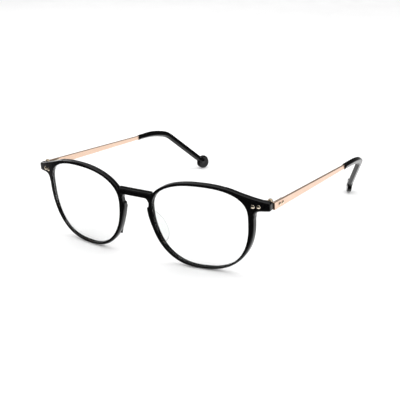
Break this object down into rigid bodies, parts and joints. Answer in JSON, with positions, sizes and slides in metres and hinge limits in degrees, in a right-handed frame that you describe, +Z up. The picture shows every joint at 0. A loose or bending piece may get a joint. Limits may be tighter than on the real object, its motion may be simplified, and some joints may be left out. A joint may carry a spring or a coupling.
{
  "type": "eyeglasses",
  "caption": "Open eyeglasses: rounded acetate front with clear lenses, slim metal temples on riveted screw hinges, and curved acetate ear tips ending in flat paddles.",
  "frame": {"origin": "middle of the bounding box, on the table plane the rims and temple tips stand on", "axes": "+X to the viewer's right, +Y from the front back along the temples, +Z up"},
  "size_m": [0.1354, 0.1512, 0.0436],
  "materials": {
    "black_acetate": "polished black cellulose acetate",
    "clear_lens": "clear coated plastic lens",
    "clear_pad": "clear polished acetate",
    "pink_gold": "satin pale rose-gold plating",
    "gold_fittings": "polished pale gold plating"
  },
  "bodies": {
    "front": {"front_frame": "black_acetate", "lens_left": "clear_lens", "lens_right": "clear_lens", "nose_pad_left": "clear_pad", "nose_pad_right": "clear_pad", "front_hinge_left": "gold_fittings", "front_hinge_right": "gold_fittings", "front_rivets_left": "gold_fittings", "front_rivets_right": "gold_fittings", "hinge_screw_left": "gold_fittings", "hinge_screw_right": "gold_fittings"},
    "left_temple": {"temple_hinge_left": "gold_fittings", "temple_rivets_left": "gold_fittings", "temple_left": "pink_gold", "tip_left": "black_acetate"},
    "right_temple": {"temple_hinge_right": "gold_fittings", "temple_rivets_right": "gold_fittings", "temple_right": "pink_gold", "tip_right": "black_acetate"}
  },
  "joints": [
    {"name": "left_temple_fold", "type": "hinge", "parent": "front", "child": "left_temple", "pos_m": [-0.0647, -0.06141, 0.03535], "axis": [0, 0.1045, -0.9945], "range_deg": [0, 87]},
    {"name": "right_temple_fold", "type": "hinge", "parent": "front", "child": "right_temple", "pos_m": [0.0647, -0.06141, 0.03535], "axis": [0, -0.1045, 0.9945], "range_deg": [0, 84]}
  ]
}
